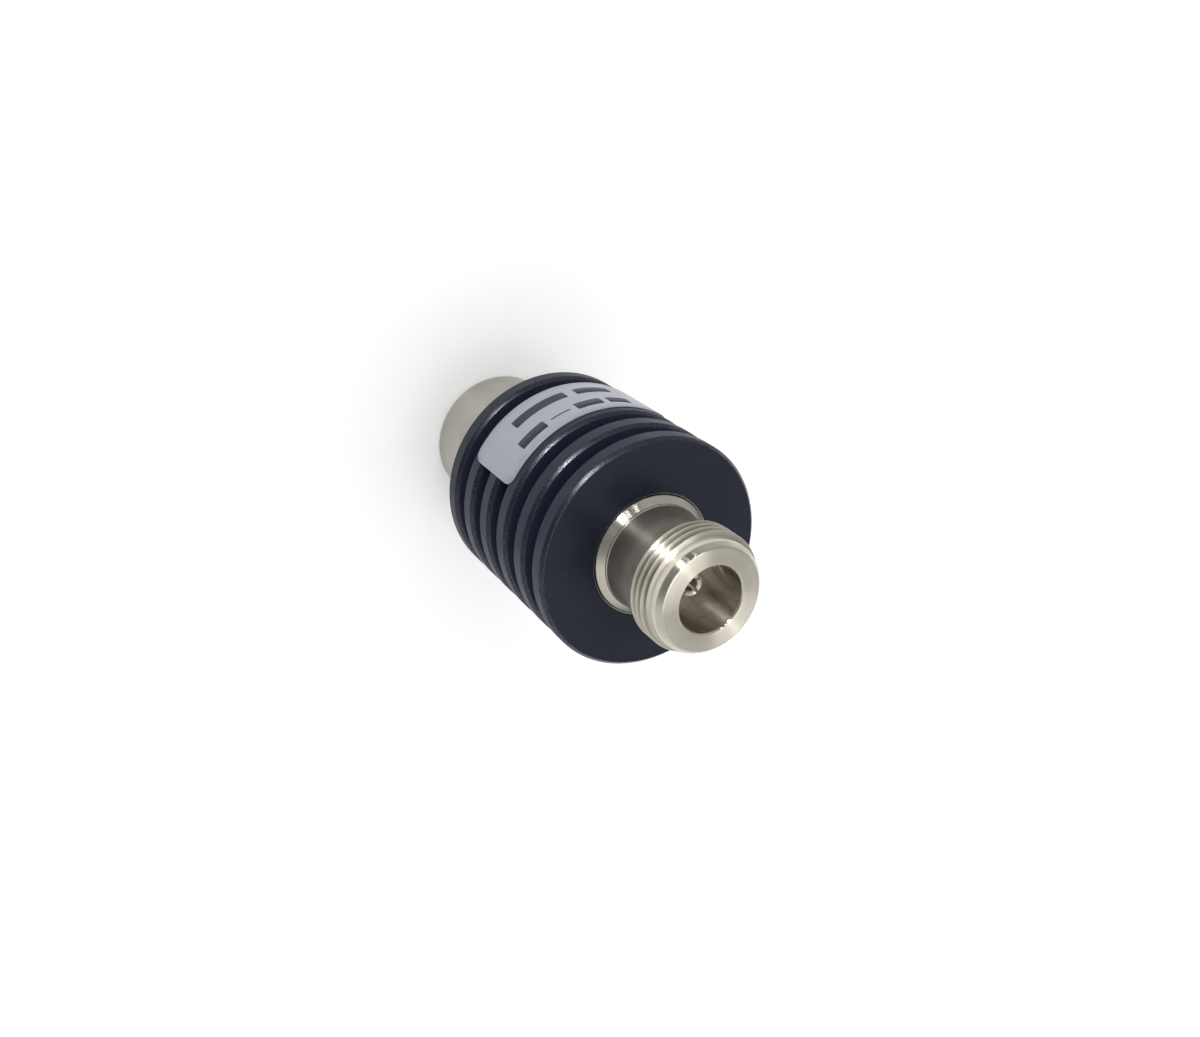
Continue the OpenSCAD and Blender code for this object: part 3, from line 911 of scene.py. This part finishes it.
# Nickel: bright and inner colour, roughness, lines per mm. Metal: colour, roughness.
# Solid: colour, its darker shade, roughness, grain and bump in mm, and specular level where it isn't 0.4.
NICKELS = {
    "nickel": ((0.64, 0.605, 0.515), (0.66, 0.61, 0.53), 0.19, 6.0),
    "nut_nickel": ((0.485, 0.465, 0.417), (0.42, 0.38, 0.32), 0.21, 5.0),
    "contact_plate": ((0.95, 0.93, 0.88), (0.62, 0.52, 0.42), 0.25, 8.0),
}
METALS = {
    "bushing_brass": ((0.68, 0.50, 0.22), 0.3),
    "spring_bronze": ((0.60, 0.44, 0.23), 0.34),
    "carrier_metal": ((0.62, 0.59, 0.52), 0.34),
}
SOLIDS = {
    "silver_film": ((0.385, 0.40, 0.46), (0.36, 0.375, 0.435), 0.36, 0.25, 0.01),
    "white_bead": ((0.82, 0.81, 0.77), (0.74, 0.73, 0.69), 0.45, 0.3, 0.01),
    "red_silicone": ((0.36, 0.055, 0.035), (0.28, 0.04, 0.028), 0.5, 0.2, 0.012),
    "tile_ceramic": ((0.82, 0.81, 0.77), (0.75, 0.74, 0.70), 0.55, 0.15, 0.01),
    "label_ink": ((0.034, 0.034, 0.042), (0.046, 0.046, 0.056), 0.5, 0.15, 0.006, 0.25),
    "resistor_film": ((0.022, 0.02, 0.019), (0.03, 0.027, 0.025), 0.4, 0.1, 0.006),
}
finishes = {"black_anodise": black_anodise()}
for kind, table in ((satin_nickel, NICKELS), (plain_metal, METALS), (soft_solid, SOLIDS)):
    for name, values in table.items():
        finishes[name] = kind(name, *values)

slot_of = {part["node"]: part["material_slot"] for part in frame["record"]["subparts"]}
for node, cad in frame["nodes"].items():
    shown = pieces.get(node, cad)
    shown.data.materials.clear()
    shown.data.materials.append(finishes[slot_of[node]])
label_ink.data.materials.append(finishes["label_ink"])
tile_film.data.materials.append(finishes["resistor_film"])


# Studio

MIDDLE = Vector((0, 0, 0.042))  # where the lamps point
WATTS_PER_RADIANCE = 4  # of a square metre of lamp


def towards(azimuth, elevation):
    """The direction at an azimuth from +X and an elevation, in degrees."""
    a, e = math.radians(azimuth), math.radians(elevation)
    return Vector((math.cos(e) * math.cos(a), math.cos(e) * math.sin(a), math.sin(e)))


def lamp(name, azimuth, elevation, distance, width, height, radiance, diffuse=True, glossy=True):
    """A flat lamp that faces the part. Its radiance is what a mirror would show of it, with 1 for white."""
    data = bpy.data.lights.new(name, "AREA")
    data.shape = "RECTANGLE"
    data.size = width
    data.size_y = height
    data.energy = WATTS_PER_RADIANCE * radiance * width * height
    light = bpy.data.objects.new(name, data)
    way = towards(azimuth, elevation)
    light.location = MIDDLE + way * distance
    light.rotation_euler = way.to_track_quat("Z", "Y").to_euler()
    light.visible_diffuse = diffuse
    light.visible_glossy = glossy
    bpy.context.scene.collection.objects.link(light)


# Azimuth, elevation, distance, width, height, radiance
lamp("main_lamp", -74, 41, 0.4, 0.026, 0.10, 90, diffuse=False)
lamp("second_lamp", -88, 41, 0.4, 0.008, 0.10, 10, diffuse=False)
lamp("third_lamp", -104, 41, 0.4, 0.008, 0.10, 10, diffuse=False)
lamp("top_box", 0, 90, 1.8, 1.7, 1.7, 1.3)
lamp("fill_box", -100, 22, 1.7, 1.28, 1.06, 2.2, glossy=False)

world = bpy.data.worlds.new("studio")
bpy.context.scene.world = world
world.use_nodes = True
sky = world.node_tree
backdrop = sky.nodes["Background"]
way_out = sky.nodes.new("ShaderNodeTexCoord").outputs["Generated"]


def sky_patch(azimuth, elevation, inner, outer):
    """A soft round patch of the sky, 1 inside the inner angle and 0 outside the outer one."""
    middle = towards(azimuth, elevation)
    near = put(sky, "ShaderNodeVectorMath", {0: way_out, 1: middle}, operation="DOT_PRODUCT").outputs["Value"]
    return ramp(sky, near, math.cos(math.radians(outer)), math.cos(math.radians(inner)))


SKY_LEVEL = 0.66
# Azimuth, elevation, inner and outer angle
camera_side = sky_patch(-50, 30, 28, 62)
left_side = sky_patch(50, 30, 25, 60)
right_side = sky_patch(-140, 20, 40, 75)
height = put(sky, "ShaderNodeSeparateXYZ", {0: way_out}).outputs["Z"]
above_horizon = ramp(sky, height, 0.07, 0.19)
shade = total(sky, times(sky, camera_side, 0.47), (right_side, 0.18))
level = calc(sky, "SUBTRACT", SKY_LEVEL, times(sky, shade, above_horizon))
level = calc(sky, "ADD", level, times(sky, left_side, 0.13), clamp=True)
sky.links.new(level, backdrop.inputs["Strength"])
backdrop.inputs["Color"].default_value = (0.98, 0.985, 1.0, 1)

FLOOR_HALF = 3
FLOOR_LIFT = 0.22  # light of its own, for what looks at it directly
corners = [(-FLOOR_HALF, -FLOOR_HALF, 0), (FLOOR_HALF, -FLOOR_HALF, 0),
           (FLOOR_HALF, FLOOR_HALF, 0), (-FLOOR_HALF, FLOOR_HALF, 0)]
floor = new_piece("floor", corners, [(0, 1, 2, 3)])
floor_paint, paint_tree, paint = finish("floor_paint", Base_Color=(0.92, 0.92, 0.92, 1), Roughness=0.9,
                                        Specular_IOR_Level=0.0)
rays = paint_tree.nodes.new("ShaderNodeLightPath").outputs
mirrored = calc(paint_tree, "MAXIMUM", rays["Is Glossy Ray"], rays["Is Transmission Ray"])
direct = calc(paint_tree, "MAXIMUM", rays["Is Camera Ray"], mirrored)
lift = put(paint_tree, "ShaderNodeEmission", {"Strength": times(paint_tree, direct, FLOOR_LIFT)})
both = put(paint_tree, "ShaderNodeAddShader", {0: paint.outputs[0], 1: lift.outputs[0]})
paint_tree.links.new(both.outputs[0], paint_tree.nodes["Material Output"].inputs["Surface"])
floor.data.materials.append(floor_paint)


# Camera at the photograph's angle

CAMERA_AT = Vector((55.2573, -82.6968, 162.9033)) * MM
CAMERA_RIGHT = Vector((-0.85634, 0.18759, 0.48113))
CAMERA_UP = Vector((-0.39255, -0.84182, -0.37046))

scene = bpy.context.scene
scene.view_settings.view_transform = "Standard"

camera_data = bpy.data.cameras.new("camera")
camera_data.sensor_fit = "HORIZONTAL"
camera_data.sensor_width = 36.0
camera_data.lens = 37.529
camera_data.clip_start = 0.005
camera = bpy.data.objects.new("camera", camera_data)
scene.collection.objects.link(camera)
back = CAMERA_RIGHT.cross(CAMERA_UP).normalized()
turn = Matrix((CAMERA_RIGHT, CAMERA_UP, back)).transposed().to_4x4()
camera.matrix_world = Matrix.Translation(CAMERA_AT) @ turn
scene.camera = camera
